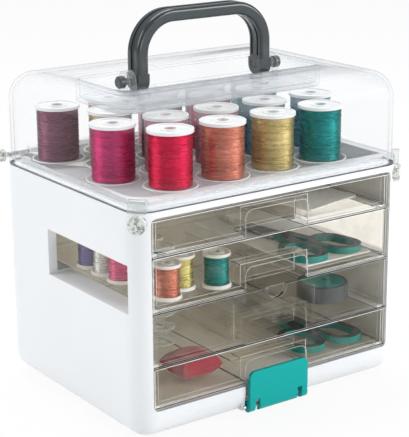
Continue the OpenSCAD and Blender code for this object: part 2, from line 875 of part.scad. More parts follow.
module pink_pouch() {
  color([0.93, 0.45, 0.55])
  translate([drawer_t - box_w / 2 + 0.68 * side_bay, yf + 34, z4 + body_up + drawer_t])
    round_prism(0.5 * side_bay, pouch_d, drawer_4_h - pouch_room, 6);
}

module pattern_card() {
  color([0.93, 0.93, 0.92])
  translate([box_w / 2 - drawer_t - side_bay / 2, box_y0 + drawer_l / 2 - 8, z2 + body_up + drawer_t])
    round_prism(0.92 * side_bay, drawer_l - pattern_rest, pattern_t, 2);
}

module tape_at() {
  translate([box_w / 2 - drawer_t - tape_r - 6, yf + 20 + tape_r, z3 + body_up + drawer_t]) children();
}

module tape_case() {
  color([0.28, 0.31, 0.34])
  tape_at() rotate_extrude() difference() {
    union() {
      square([tape_r - 1.2, tape_h]);
      translate([0, 1.2]) square([tape_r, tape_h - 2.4]);
      translate([tape_r - 1.2, 1.2]) circle(1.2);
      translate([tape_r - 1.2, tape_h - 1.2]) circle(1.2);
    }
    translate([0, tape_h - 1]) square([tape_r - 3, 2]);
  }
}

module tape_disc() {
  color([0.25, 0.62, 0.58])
  tape_at() translate([0, 0, tape_h - 1]) difference() {
    cylinder(h = 1.4, r = tape_r - 3.2);
    translate([0, 0, 0.6]) cylinder(h = 2, r = 4);
  }
}

module bobbin() {
  rotate_extrude() union() {
    square([4, bobbin_h]);
    square([bobbin_r, bobbin_t]);
    translate([0, bobbin_h - bobbin_t]) square([bobbin_r, bobbin_t]);
  }
}

module bobbin_stack() {
  color([0.85, 0.88, 0.88, 0.5])
  translate([drawer_t - box_w / 2 + bobbin_r + 10, yf + 22 + bobbin_r, z3 + body_up + drawer_t]) union() {
    bobbin();
    translate([0, 0, bobbin_h]) bobbin();
  }
}

case_shell();
case_front();
case_feet();
drawer_runners();
latch_rod();
corner_buttons();
case_hinge_knuckles();
hinge_rod();
spool_tray();
spool_reels();
thread_mauve();
thread_crimson();
thread_magenta();
thread_copper();
thread_gold();
thread_teal();
thread_blue();
thread_rose();
lid_shell();
lid_hinge_knuckles();
lid_corner_tabs();
handle_lugs();
handle_grip();
handle_inlay();
handle_pins();
latch_plate();
drawer_1();
drawer_2();
drawer_3();
drawer_4();
stitch_card();
small_reels();
small_thread_copper();
small_thread_yellow();
small_thread_teal();
small_thread_lilac();
small_thread_white();
small_thread_pink();
upper_scissor_blades();
upper_scissor_grips();
lower_scissor_blades();
lower_scissor_grips();
pink_pouch();
pattern_card();
tape_case();
tape_disc();
bobbin_stack();
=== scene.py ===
import json
import math

import bmesh
import bpy
from bpy.props import FloatProperty, FloatVectorProperty, IntProperty, PointerProperty
from mathutils import Matrix, Vector

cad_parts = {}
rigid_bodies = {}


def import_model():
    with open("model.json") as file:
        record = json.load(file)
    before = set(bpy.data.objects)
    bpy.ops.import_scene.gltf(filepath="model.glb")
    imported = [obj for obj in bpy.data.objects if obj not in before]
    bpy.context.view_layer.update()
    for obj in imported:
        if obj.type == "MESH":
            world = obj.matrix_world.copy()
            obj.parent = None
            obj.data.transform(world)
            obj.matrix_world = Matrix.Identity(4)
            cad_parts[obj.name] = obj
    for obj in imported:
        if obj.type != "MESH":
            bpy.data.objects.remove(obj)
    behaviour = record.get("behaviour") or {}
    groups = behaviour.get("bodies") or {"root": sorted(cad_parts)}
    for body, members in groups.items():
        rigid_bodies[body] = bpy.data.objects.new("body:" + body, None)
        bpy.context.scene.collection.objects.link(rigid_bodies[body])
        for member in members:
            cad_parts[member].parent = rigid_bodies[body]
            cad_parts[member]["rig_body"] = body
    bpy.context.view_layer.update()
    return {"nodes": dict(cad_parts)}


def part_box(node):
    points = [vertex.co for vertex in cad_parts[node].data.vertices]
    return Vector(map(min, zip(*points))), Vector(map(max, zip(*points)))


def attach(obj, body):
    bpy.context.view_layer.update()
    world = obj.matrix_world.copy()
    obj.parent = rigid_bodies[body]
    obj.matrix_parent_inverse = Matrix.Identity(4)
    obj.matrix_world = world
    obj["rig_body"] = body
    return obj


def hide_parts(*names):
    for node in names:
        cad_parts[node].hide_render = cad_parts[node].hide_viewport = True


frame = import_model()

bl_info = {
    "name": "Thread box dressing",
    "version": (1, 0, 0),
    "blender": (4, 5, 0),
    "location": "View3D > Sidebar > Thread box",
    "description": "Winds the spools and gives every part of the sewing box its finish",
    "category": "Object",
}

NODES = frame["nodes"]
LID_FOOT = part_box("lid_shell")[0].z
CASE_LOW, CASE_HIGH = (
    Vector(map(pick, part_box("case_shell")[i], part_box("case_front")[i]))
    for i, pick in enumerate((min, max)))

# Points closer than this are one point: in a mesh made here, and in a copy of a CAD part.
WELD = 1e-6
CAD_WELD = 2e-6

# On a copy of a CAD part, a fold under the first angle is flat and one over the second is an edge.
FLAT_ANGLE = math.radians(0.6)
EDGE_ANGLE = math.radians(50)

# How wide the edges of each clear part are rounded.
LID_EDGE = 0.0006
FITTING_EDGE = 0.0005
BUTTON_EDGE = 0.0016
ROD_EDGE = 0.0006
DRAWER_EDGE = 0.00075
BOBBIN_EDGE = 0.0003

# How far above the lid's foot, and behind the front of the case, a face can be to be painted dark:
# the lid's foot along the seam, and the drawer fronts' edges as painted shade in the gaps.
LID_SEAM_DEPTH = 0.0004
DRAWER_PANEL_DEPTH = 0.0034

# The dark band in the seam between case and lid: how far it lies in from the case wall, and its own
# sizes.
SEAM_BAND_INSET = 0.0006
SEAM_BAND_CORNER = 0.0154
SEAM_BAND_WIDTH = 0.0013
SEAM_BAND_HEIGHT = 0.00036
SEAM_BAND_CHAMFER = 0.00012

# The winding: the share of a spool's height that the turns fill, how often the loose top lay goes
# round a large and a small spool, and how much of the unevenness a small spool has.
FILLED_SHARE = 0.97
LARGE_CROSSINGS = 9.3
SMALL_CROSSINGS = 6.3
SMALL_UNEVENNESS = 0.7

# The camera that was fitted to the photograph.
CAMERA_PLACE = Vector((-0.6060, -0.8619, 0.4336))
CAMERA_AHEAD = Vector((0.5547, 0.7826, -0.2822))
CAMERA_SENSOR = 36
CAMERA_CLIP = 0.05

# Each lamp's place, the point it is aimed at, its width and height, and its watts.
LAMPS = {
    "key_light": ((-1.9, 1.0, 1.3), (0, 0, 0.14), 1.3, 1.2, 21),
    "fill_light": ((1.5, -1.8, 0.8), (0, 0, 0.12), 1.2, 1.2, 27),
    "top_light": ((0.2, 0.5, 2.0), (0, 0, 0.2), 1.6, 1.0, 28),
    "front_light": ((-0.1, -2.4, 0.35), (0, 0, 0.09), 1.0, 0.5, 7),
}
SKY_COLOUR = (0.93, 0.96, 1.0, 1)
SKY_STRENGTH = 0.43
FLOOR_GLOW = 0.92
FLOOR_DROP = 0.0002
CLEAR_BOUNCES = 32


# Shader maths

class Value:
    """A number in a material; arithmetic on it adds Math nodes."""

    def __init__(self, finish, socket):
        self.finish = finish
        self.socket = socket

    def maths(self, operation, *others):
        return self.finish.add("ShaderNodeMath", {"operation": operation}, [self, *others])

    def __add__(self, other):
        return self.maths("ADD", other)

    __radd__ = __add__

    def __mul__(self, other):
        return self.maths("MULTIPLY", other)

    __rmul__ = __mul__

    def __sub__(self, other):
        return self.maths("SUBTRACT", other)

    def __rsub__(self, other):
        return self.finish.add("ShaderNodeMath", {"operation": "SUBTRACT"}, [other, self])

    def __truediv__(self, other):
        return self.maths("DIVIDE", other)

    def __pow__(self, other):
        return self.maths("POWER", other)

    def __abs__(self):
        return self.maths("ABSOLUTE")

    def clamp(self):
        return self.maths("MINIMUM", 1.0).maths("MAXIMUM", 0.0)

    def above(self, edge, soft):
        """0 below the edge and 1 above it, with a soft step of that width."""
        return ((self - edge) / soft + 0.5).clamp()


class Finish:
    """One material and its node tree."""

    def __init__(self, name):
        self.material = bpy.data.materials.new(name)
        self.material.use_nodes = True
        self.tree = self.material.node_tree
        self.tree.nodes.clear()
        self.out = self.tree.nodes.new("ShaderNodeOutputMaterial")
        self.place = self.add("ShaderNodeTexCoord", out="Object")

    def add(self, kind, settings=None, inputs=None, out=0):
        """Adds a node with its settings, and sets or links its inputs, named or in order."""
        node = self.tree.nodes.new(kind)
        for name, value in (settings or {}).items():
            setattr(node, name, value)
        pairs = inputs.items() if isinstance(inputs, dict) else enumerate(inputs or [])
        for key, value in pairs:
            self.feed(node.inputs[key], value)
        return Value(self, node.outputs[out])

    def feed(self, socket, value):
        if isinstance(value, Value):
            self.tree.links.new(value.socket, socket)
        elif hasattr(socket.default_value, "__len__") and len(value) != len(socket.default_value):
            socket.default_value = (*value, 1.0)
        else:
            socket.default_value = value

    def part(self, vector, axis):
        return self.add("ShaderNodeSeparateXYZ", None, [vector], "XYZ".index(axis))

    def stretched(self, x, y, z):
        return self.add("ShaderNodeMapping", None, {"Vector": self.place, "Scale": (x, y, z)})

    def noise(self, scale, detail=3.0, vector=None, distortion=0.0):
        return self.add("ShaderNodeTexNoise", None, {
            "Vector": vector or self.place, "Scale": scale, "Detail": detail,
            "Distortion": distortion})

    def colour_mix(self, factor, first, second):
        """Mixes two colours: they are inputs 6 and 7 of the node, and the result is output 2."""
        inputs = {0: factor, 6: first, 7: second}
        return self.add("ShaderNodeMix", {"data_type": "RGBA"}, inputs, 2)

    def bump(self, height, strength, distance):
        inputs = {"Height": height, "Strength": strength, "Distance": distance}
        return self.add("ShaderNodeBump", None, inputs)

    def facing(self, blend=0.5):
        """0 where the surface is seen straight on and 1 where it is seen along its side."""
        return self.add("ShaderNodeLayerWeight", None, {"Blend": blend}, "Facing")

    def unshaded(self, share):
        """1 for the eye and less for light on its way through, so clear walls cast little shade."""
        shade = self.add("ShaderNodeLightPath", out="Is Shadow Ray")
        soft = self.add("ShaderNodeLightPath", out="Is Diffuse Ray")
        return 1 - (shade + soft) * share

    def turned_to(self, axis):
        """How far the surface faces along an axis, from -1 to 1."""
        return self.part(self.add("ShaderNodeNewGeometry", out="Normal"), axis)

    def solid(self, **inputs):
        """A Principled shader; Base_Color stands for its input Base Color."""
        inputs = {name.replace("_", " "): value for name, value in inputs.items()}
        return self.add("ShaderNodeBsdfPrincipled", None, inputs)

    def film(self, colour):
        return self.add("ShaderNodeBsdfTransparent", None, {"Color": colour})

    def surface(self, shader):
        self.tree.links.new(shader.socket, self.out.inputs["Surface"])
        return self.material

    def surface_mix(self, factor, first, second):
        return self.surface(self.add("ShaderNodeMixShader", None, [factor, first, second]))


# Finishes

def toned(colour, share, lift=0.0):
    """A colour made darker or lighter by a share and lifted, but not past white."""
    return tuple(min(1.0, c * share + lift) for c in colour)


def moulded_plastic(name, colour, roughness=0.32, grain=0.00002, shade=0.05, shine=0.5):
    """Opaque injection-moulded plastic with a faint flow pattern and a fine skin."""
    f = Finish(name)
    flow = f.noise(scale=9.0, detail=4.0)
    specks = f.noise(scale=2600.0, detail=2.0)
    tint = f.colour_mix(flow, toned(colour, 1 - shade), toned(colour, 1 + shade))
    skin = f.bump(specks, strength=0.35, distance=grain)
    return f.surface(f.solid(
        Base_Color=tint, Roughness=flow * 0.10 + (roughness - 0.05), Normal=skin,
        Specular_IOR_Level=shine))


def clear_plastic(name, film, sheet, grazing, least, most, edge=4.0, crown=0.0, mottle=0.0):
    """Clear plastic: a tinted film seen straight on, and its own surface at grazing angles, in the
    darker grazing colour there, a painted dark outline such as refraction draws at the edges.

    least and most are how much of that surface shows. crown adds a haze of painted sky reflection
    where it turns up or down, and mottle adds painted blotches that stand in for what the wall
    refracts."""
    f = Finish(name)
    ripple = f.noise(scale=55.0, detail=2.0)
    dullness = f.noise(scale=60.0, detail=2.0)
    # Blotches painted into the surface, standing in for what the wall refracts.
    refraction_blotches = f.noise(scale=34.0, detail=4.0, distortion=1.6).above(0.54, soft=0.10)
    facing = f.facing() ** edge
    skin = f.bump(ripple, strength=0.25, distance=0.0004)
    # Painted dark outline: the colour turns to the darker grazing colour where the surface is seen
    # along its side.
    tint = f.colour_mix(facing.clamp(), sheet, grazing)
    body = f.solid(Base_Color=tint, Roughness=dullness * 0.06 + 0.06, Normal=skin)
    # Painted reflection: a haze of sky on faces that turn up or down, plus the painted blotches.
    painted_reflection_and_refraction = abs(f.turned_to("Z")).above(0.3, soft=0.35) * crown + refraction_blotches * mottle
    share = (facing * (most - least) + painted_reflection_and_refraction + least) * f.unshaded(0.95)
    return f.surface_mix(share.clamp(), f.film(film), body)


def silky_thread(name, colour):
    """Wound rayon thread: glossy fibre with painted shade between the turns, from lay to lay and
    towards the sides of the spool, and specks of painted glint.
    """
    f = Finish(name)
    lays = f.noise(scale=60.0, detail=3.0, vector=f.stretched(0.4, 0.4, 9.0))
    fibre = f.noise(scale=2600.0, detail=2.0, vector=f.stretched(1.0, 1.0, 4.0))
    # Painted shade: the colour darkens where the thread is seen from the side.
    turned = f.facing() ** 1.6
    # Specks of a brighter copy of the thread colour, painted glints on the fibre.
    glint_flecks = f.noise(scale=620.0, detail=2.0, vector=f.stretched(1.0, 1.0, 3.0))
    glint_flecks = glint_flecks.above(0.58, soft=0.12)
    dark, lit, bright = toned(colour, 0.62), toned(colour, 1.12, 0.01), toned(colour, 1.5, 0.05)
    wound = f.colour_mix(((lays * 1.7 - 0.3) * (1.15 - turned)).clamp(), dark, lit)
    tint = f.colour_mix(glint_flecks * 0.45, wound, bright)
    skin = f.bump(fibre + glint_flecks * 0.5, strength=0.6, distance=0.00008)
    return f.surface(f.solid(
        Base_Color=tint, Roughness=lays * 0.16 + 0.2, Metallic=0.78, Normal=skin,
        Specular_IOR_Level=0.5, Anisotropic=0.3))


def metal(name, colour, roughness=0.22):
    """Brushed or drawn steel, brushed along X."""
    f = Finish(name)
    brushed = f.noise(scale=900.0, detail=3.0, vector=f.stretched(0.06, 1.0, 1.0))
    return f.surface(f.solid(
        Base_Color=f.colour_mix(brushed, toned(colour, 0.86), colour), Metallic=1.0,
        Roughness=brushed * 0.2 + roughness,
        Normal=f.bump(brushed, strength=0.2, distance=0.00003)))


def rubber(name, colour):
    """Matt rubber with a little dust."""
    f = Finish(name)
    dust = f.noise(scale=300.0, detail=4.0)
    return f.surface(f.solid(
        Base_Color=f.colour_mix(dust, colour, toned(colour, 1.5, 0.02)),
        Roughness=dust * 0.15 + 0.7,
        Normal=f.bump(f.noise(scale=1800.0), strength=0.4, distance=0.00005)))


def grip_plastic(name, colour):
    """Dark glossy grip plastic under a clear skin, a little clouded."""
    f = Finish(name)
    cloud = f.noise(scale=26.0, detail=4.0)
    fine = f.noise(scale=1400.0, detail=2.0)
    return f.surface(f.solid(
        Base_Color=f.colour_mix(cloud, toned(colour, 0.8), toned(colour, 1.25)),
        Roughness=cloud * 0.12 + 0.14, Coat_Weight=0.5, Coat_Roughness=0.1,
        Normal=f.bump(fine, strength=0.3, distance=0.00004)))


def two_shot_grip(name, top, side):
    """Scissor rings: one plastic on the flat faces, a brighter one on the walls."""
    f = Finish(name)
    flat = abs(f.turned_to("Z")).above(0.5, soft=0.1)
    cloud = f.noise(scale=80.0, detail=3.0)
    return f.surface(f.solid(
        Base_Color=f.colour_mix(flat, side, top), Roughness=cloud * 0.15 + 0.3,
        Normal=f.bump(f.noise(scale=1500.0), strength=0.3, distance=0.00004)))


def paper(name, colour):
    """Coated card with a soft embossed lace pattern."""
    f = Finish(name)
    lace = f.add(
        "ShaderNodeTexVoronoi", {"feature": "DISTANCE_TO_EDGE"},
        {"Vector": f.place, "Scale": 210.0})
    lines = 1 - lace.above(0.06, soft=0.06)
    fibre = f.noise(scale=1200.0, detail=4.0)
    return f.surface(f.solid(
        Base_Color=f.colour_mix(lines * 0.6, colour, (0.62, 0.64, 0.66)),
        Roughness=fibre * 0.2 + 0.5, Normal=f.bump(lines, strength=0.3, distance=0.0002)))


def woven_cotton(name, colour):
    """Plain woven cotton: over and under threads a third of a millimetre apart."""
    f = Finish(name)
    warp, weft = (
        f.add(
            "ShaderNodeTexWave", {"wave_type": "BANDS", "bands_direction": direction},
            {"Vector": f.place, "Scale": 900.0, "Distortion": 0.4}, "Fac")
        for direction in "XY")
    weave = warp * 0.5 + weft * 0.5
    cloud = f.noise(scale=60.0, detail=3.0)
    tint = f.colour_mix((weave * 0.5 + cloud * 0.5).clamp(), toned(colour, 0.7), colour)
    return f.surface(f.solid(
        Base_Color=tint, Roughness=0.85, Sheen_Weight=0.3, Sheen_Roughness=0.5,
        Normal=f.bump(weave, strength=0.5, distance=0.00012)))


def clear_rim(name, film, colour, share, shade=0.8, fronts=False):
    """The rounded edge of a clear part: it has a painted highlight on one side, standing in for
    light piped along the edge, and painted shade on the other.

    The painted light side is the one that turns up or, with fronts, the one that turns to front or
    back."""
    f = Finish(name)
    spots = f.noise(scale=240.0, detail=2.0)
    # lit picks the side painted light; the rest is painted shade, darker by shade.
    if fronts:
        lit = abs(f.turned_to("Y")).above(0.66, soft=0.2)
    else:
        lit = f.turned_to("Z").above(-0.12, soft=0.2)
    body = f.solid(
        Base_Color=f.colour_mix(lit, toned(colour, 1 - shade), colour),
        Roughness=spots * 0.1 + 0.08, Coat_Weight=0.5, Coat_Roughness=0.05)
    factor = (spots * 0.3 + share) * f.unshaded(0.9)
    return f.surface_mix(factor.clamp(), f.film(film), body)


def glass_knob(name, film, dark, light, share):
    """Thick clear plastic dappled with painted highlights and painted dark lines, which stand in
    for what its refraction does to what lies behind it.
    """
    f = Finish(name)
    warped = f.add(
        "ShaderNodeTexVoronoi", {"feature": "SMOOTH_F1"},
        {"Vector": f.place, "Scale": 330.0}, "Distance")
    swirl = f.noise(scale=420.0, detail=2.0, distortion=2.5)
    # Painted highlights and painted dark lines, picked from warped noise.
    painted_glints_and_shade = (swirl * 1.2 + warped * 0.5 - 0.35).above(0.42, soft=0.12)
    body = f.solid(
        Base_Color=f.colour_mix(painted_glints_and_shade, dark, light), Roughness=swirl * 0.1 + 0.05,
        Normal=f.bump(swirl, strength=0.6, distance=0.0008), Coat_Weight=0.6,
        Coat_Roughness=0.04)
    factor = (f.facing() ** 2 * 0.5 + painted_glints_and_shade * 0.2 + share) * f.unshaded(0.8)
    return f.surface_mix(factor.clamp(), f.film(film), body)


# Mesh helpers

def wear(material, *nodes):
    """Gives CAD parts their finish."""
    for node in nodes:
        mesh = NODES[node].data
        mesh.materials.clear()
        mesh.materials.append(material)


def piece(name, mesh, material, body, node_names=()):
    """Puts a finished mesh in the scene on its body, in place of the named CAD parts."""
    obj = bpy.data.objects.new(name, mesh)
    bpy.context.scene.collection.objects.link(obj)
    if material is not None:
        mesh.materials.clear()
        mesh.materials.append(material)
    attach(obj, body)
    if node_names:
        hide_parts(*node_names)
    return obj


def smooth(mesh, angle=40):
    """Shades a mesh smoothly, apart from edges sharper than an angle in degrees."""
    for face in mesh.polygons:
        face.use_smooth = True
    mesh.set_sharp_from_angle(angle=math.radians(angle))


def evaluated_mesh(obj):
    """The mesh that an object's modifiers make; the object itself goes."""
    held = bpy.context.evaluated_depsgraph_get()
    mesh = bpy.data.meshes.new_from_object(obj.evaluated_get(held))
    bpy.data.objects.remove(obj)
    return mesh


def eased_copy(node, width, finishes, pick=None, segments=2):
    """A copy of a CAD part with its sharp edges rounded.

    The rounded edges take the second finish, and the faces that pick chooses take the third."""
    bm = bmesh.new()
    bm.from_mesh(NODES[node].data)
    bmesh.ops.remove_doubles(bm, verts=bm.verts, dist=CAD_WELD)
    bmesh.ops.dissolve_limit(bm, angle_limit=FLAT_ANGLE, verts=bm.verts, edges=bm.edges)
    for face in bm.faces:
        face.material_index = 2 if pick and pick(face) else 0
    mesh = bpy.data.meshes.new("eased_" + node)
    bm.to_mesh(mesh)
    bm.free()
    for finish in finishes:
        mesh.materials.append(finish)
    obj = bpy.data.objects.new("eased_" + node, mesh)
    bpy.context.scene.collection.objects.link(obj)
    bevel = obj.modifiers.new("eased", "BEVEL")
    bevel.width = width
    bevel.segments = segments
    bevel.limit_method = "ANGLE"
    bevel.angle_limit = EDGE_ANGLE
    bevel.material = 1
    bevel.use_clamp_overlap = True
    done = evaluated_mesh(obj)
    smooth(done, 35)
    return piece("eased_" + node, done, None, NODES[node]["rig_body"], [node])


def corner_loop(half_w, half_d, radius, steps=12):
    """Points round a rectangle with round corners, counter-clockwise from above."""
    points = []
    for corner, (sx, sy) in enumerate([(1, 1), (-1, 1), (-1, -1), (1, -1)]):
        for i in range(steps + 1):
            a = math.radians(90 * corner + 90 * i / steps)
            x = sx * (half_w - radius) + radius * math.cos(a)
            y = sy * (half_d - radius) + radius * math.sin(a)
            points.append((x, y))
    return points


# Spools

WINDING_INPUTS = {
    "Geometry": "Geometry", "Barrel Radius": "Float", "Wound Height": "Float",
    "Thread Radius": "Float", "Unevenness": "Float", "Turns": "Float", "Crossings": "Float",
    "Steps": "Int", "Thread": "Material",
}


def winding_tree():
    """Geometry Nodes: winds one thread up a barrel and sets a copy on every point."""
    tree = bpy.data.node_groups.new("winding", "GeometryNodeTree")
    face = tree.interface
    for name, kind in WINDING_INPUTS.items():
        face.new_socket(name, in_out="INPUT", socket_type="NodeSocket" + kind)
    face.new_socket("Geometry", in_out="OUTPUT", socket_type="NodeSocketGeometry")

    def add(kind, settings=None, inputs=None):
        node = tree.nodes.new(kind)
        for name, value in (settings or {}).items():
            setattr(node, name, value)
        for key, value in (inputs or {}).items():
            if isinstance(value, bpy.types.NodeSocket):
                tree.links.new(value, node.inputs[key])
            else:
                node.inputs[key].default_value = value
        return node

    def maths(operation, a, b):
        return add("ShaderNodeMath", {"operation": operation}, {0: a, 1: b}).outputs[0]

    given = add("NodeGroupInput").outputs
    thread = given["Thread Radius"]
    lay_radius = maths("SUBTRACT", given["Barrel Radius"], thread)
    section = add(
        "GeometryNodeCurvePrimitiveCircle", {"mode": "RADIUS"},
        {"Resolution": 5, "Radius": thread})
    strands = []
    # The close lay runs up the barrel, and the loose top lay runs down over it.
    for turns, downward, reach in (
            (given["Turns"], False, 0.0), (given["Crossings"], True, 0.6)):
        radius = maths("ADD", lay_radius, maths("MULTIPLY", thread, reach))
        height = maths("SUBTRACT", given["Wound Height"], maths("MULTIPLY", thread, 2.0))
        spiral = add("GeometryNodeCurveSpiral", None, {
            "Resolution": given["Steps"], "Rotations": turns, "Start Radius": radius,
            "End Radius": radius, "Height": height, "Reverse": downward})
        here = add("GeometryNodeInputPosition").outputs[0]
        ripple = add("ShaderNodeTexNoise", None, {"Vector": here, "Scale": 520.0, "Detail": 2.0})
        slip = maths("MULTIPLY", maths("SUBTRACT", ripple.outputs[0], 0.5), given["Unevenness"])
        lift = add("ShaderNodeCombineXYZ", None, {"Z": maths("ADD", slip, thread)})
        moved = add("GeometryNodeSetPosition", None, {
            "Geometry": spiral.outputs[0], "Offset": lift.outputs[0]})
        strand = add("GeometryNodeCurveToMesh", None, {
            "Curve": moved.outputs[0], "Profile Curve": section.outputs[0], "Fill Caps": True})
        strands.append(strand.outputs[0])
    core = add("GeometryNodeMeshCylinder", {"fill_type": "NGON"}, {
        "Vertices": 48, "Radius": lay_radius, "Depth": given["Wound Height"]})
    raised = add("ShaderNodeCombineXYZ", None, {"Z": maths("MULTIPLY", given["Wound Height"], 0.5)})
    standing = add("GeometryNodeTransform", None, {
        "Geometry": core.outputs[0], "Translation": raised.outputs[0]})
    joined = add("GeometryNodeJoinGeometry")
    for source in (*strands, standing.outputs[0]):
        tree.links.new(source, joined.inputs[0])
    placed = add("GeometryNodeInstanceOnPoints", None, {
        "Points": given["Geometry"], "Instance": joined.outputs[0]})
    real = add("GeometryNodeRealizeInstances", None, {"Geometry": placed.outputs[0]})
    shaded = add("GeometryNodeSetShadeSmooth", None, {"Geometry": real.outputs[0]})
    dressed = add("GeometryNodeSetMaterial", None, {
        "Geometry": shaded.outputs[0], "Material": given["Thread"]})
    add("NodeGroupOutput", None, {0: dressed.outputs[0]})
    return tree


def solid_centres(node):
    """Bottom centres of the separate solids of a CAD part, and the size of the first."""
    bm = bmesh.new()
    bm.from_mesh(NODES[node].data)
    bmesh.ops.remove_doubles(bm, verts=bm.verts, dist=WELD)
    left = set(bm.verts)
    found = []
    while left:
        group = {left.pop()}
        edge = list(group)
        while edge:
            for e in edge.pop().link_edges:
                for v in e.verts:
                    if v in left:
                        left.remove(v)
                        group.add(v)
                        edge.append(v)
        low, high = (
            Vector([pick(v.co[i] for v in group) for i in range(3)]) for pick in (min, max))
        found.append((Vector(((low.x + high.x) / 2, (low.y + high.y) / 2, low.z)), high - low))
    bm.free()
    found.sort(key=lambda f: (round(f[0].y, 4), round(f[0].x, 4)))
    return [f[0] for f in found], found[0][1]


def wind(tree, node, body, width, crossings, steps, unevenness, colour):
    """Winds the thread of one colour on all its spools."""
    material = silky_thread(node, colour)
    centres, size = solid_centres(node)
    points = bpy.data.meshes.new(node + "_points")
    points.from_pydata([tuple(c) for c in centres], [], [])
    obj = bpy.data.objects.new(node + "_points", points)
    bpy.context.scene.collection.objects.link(obj)
    modifier = obj.modifiers.new("winding", "NODES")
    modifier.node_group = tree
    values = {
        "Barrel Radius": size.x / 2, "Wound Height": size.z, "Thread Radius": width / 2,
        "Unevenness": unevenness, "Turns": size.z / width * FILLED_SHARE,
        "Crossings": crossings, "Steps": steps, "Thread": material}
    for item in tree.interface.items_tree:
        if item.in_out == "INPUT" and item.name in values:
            modifier[item.identifier] = values[item.name]
    mesh = evaluated_mesh(obj)
    if not mesh.polygons:
        raise RuntimeError("no thread was wound for " + node)
    mesh.name = "wound_" + node
    return piece("wound_" + node, mesh, material, body, [node])


# Soft pouch

def pillow_mesh(low, high, pinch=0.07, fold_depth=0.05, lower_share=0.985, cells=28):
    """A crowned pad of an upper and a lower sheet that fills a box, pulled in at its sides.

    The upper sheet has light folds and lies lower by their depth, so that it stays in the box.
    Its rim is therefore a little below the lower sheet's, and the two are not joined."""
    centre = (low + high) / 2
    half = (high - low) / 2
    bm = bmesh.new()
    sheets = []
    for side in (1, -1):
        rows = []
        for i in range(cells + 1):
            row = []
            for j in range(cells + 1):
                u, v = 2 * i / cells - 1, 2 * j / cells - 1
                crown = math.sqrt(max(0.0, (1 - u**4) * (1 - v**4)))
                x = half.x * (u - pinch * u**3 * (1 - v * v))
                y = half.y * (v - pinch * v**3 * (1 - u * u))
                fold = fold_depth * math.sin(5 * u + 2 * v) * crown
                rise = crown + fold - fold_depth if side > 0 else crown * lower_share
                z = half.z * side * rise
                row.append(bm.verts.new((centre.x + x, centre.y + y, centre.z + z)))
            rows.append(row)
        sheets.append(rows)
    for side, rows in enumerate(sheets):
        for i in range(cells):
            for j in range(cells):
                ring = [rows[i][j], rows[i + 1][j], rows[i + 1][j + 1], rows[i][j + 1]]
                bm.faces.new(ring if side == 0 else ring[::-1])
    bmesh.ops.remove_doubles(bm, verts=bm.verts, dist=WELD)
    bmesh.ops.recalc_face_normals(bm, faces=bm.faces)
    mesh = bpy.data.meshes.new("pouch")
    bm.to_mesh(mesh)
    bm.free()
    smooth(mesh, 70)
    return mesh


# Settings

def colour_setting(name, default, description):
    return FloatVectorProperty(
        name=name, description=description, subtype="COLOR", size=3, min=0.0, max=1.0,
        default=default)


class ThreadBoxCase(bpy.types.PropertyGroup):
    """Colours of the moulded case, its latch and its handle."""

    white: colour_setting("Case", (0.88, 0.895, 0.905), "Colour of the white case")
    tray: colour_setting("Tray", (0.95, 0.952, 0.955), "Colour of the spool tray")
    latch: colour_setting("Latch", (0.0, 0.40, 0.375), "Colour of the front latch")
    grip: colour_setting("Grip", (0.022, 0.032, 0.036), "Colour of the carrying handle")


class ThreadBoxClear(bpy.types.PropertyGroup):
    """Tints of the clear plastic."""

    lid: colour_setting("Lid", (0.992, 0.994, 0.996), "What the lid lets through")
    smoke: colour_setting("Drawers", (0.989, 0.980, 0.960), "What one drawer wall lets through")
    lid_least: FloatProperty(
        name="Lid haze", description="How much of the lid's own surface shows straight on",
        min=0.0, max=1.0, default=0.005, subtype="FACTOR")
    smoke_least: FloatProperty(
        name="Drawer haze", description="How much of a drawer's own surface shows straight on",
        min=0.0, max=1.0, default=0.012, subtype="FACTOR")


class ThreadBoxThread(bpy.types.PropertyGroup):
    """How the thread is wound, and its colours."""

    width: FloatProperty(
        name="Thread width", description="Distance from one turn to the next on the large spools",
        min=0.0003, max=0.002, default=0.00062, unit="LENGTH")
    small_width: FloatProperty(
        name="Small thread width",
        description="Distance from one turn to the next on the small spools",
        min=0.0003, max=0.002, default=0.0006, unit="LENGTH")
    unevenness: FloatProperty(
        name="Unevenness", description="How far a turn strays up or down",
        min=0.0, max=0.003, default=0.0009, unit="LENGTH")
    steps: IntProperty(
        name="Steps", description="Points along one turn", min=12, max=64, default=34)
    mauve: colour_setting("Mauve", (0.26, 0.075, 0.14), "Mauve thread")
    crimson: colour_setting("Crimson", (0.78, 0.006, 0.075), "Crimson thread")
    magenta: colour_setting("Magenta", (0.62, 0.015, 0.17), "Magenta thread")
    copper: colour_setting("Copper", (0.74, 0.27, 0.185), "Copper thread")
    gold: colour_setting("Gold", (0.68, 0.54, 0.23), "Gold thread")
    teal: colour_setting("Teal", (0.008, 0.30, 0.29), "Teal thread")
    blue: colour_setting("Blue", (0.12, 0.36, 0.48), "Blue thread")
    rose: colour_setting("Rose", (0.74, 0.30, 0.42), "Rose thread")
    yellow: colour_setting("Yellow", (0.78, 0.70, 0.27), "Yellow thread")
    lilac: colour_setting("Lilac", (0.22, 0.19, 0.46), "Lilac thread")
    pink: colour_setting("Pink", (0.86, 0.15, 0.32), "Pink thread")
    white: colour_setting("White", (0.86, 0.86, 0.84), "White thread")


class ThreadBoxStage(bpy.types.PropertyGroup):
    """Camera and floor."""

    lens: FloatProperty(
        name="Lens", description="Focal length of the camera", min=20.0, max=300.0,
        default=117.72, unit="CAMERA")
    roll: FloatProperty(
        name="Roll", description="Roll of the camera", min=-0.5, max=0.5,
        default=math.radians(-0.39), subtype="ANGLE")
    floor: FloatProperty(
        name="Floor", description="Half the size of the floor", min=0.5, max=20.0,
        default=6.0, unit="LENGTH")


# Operators

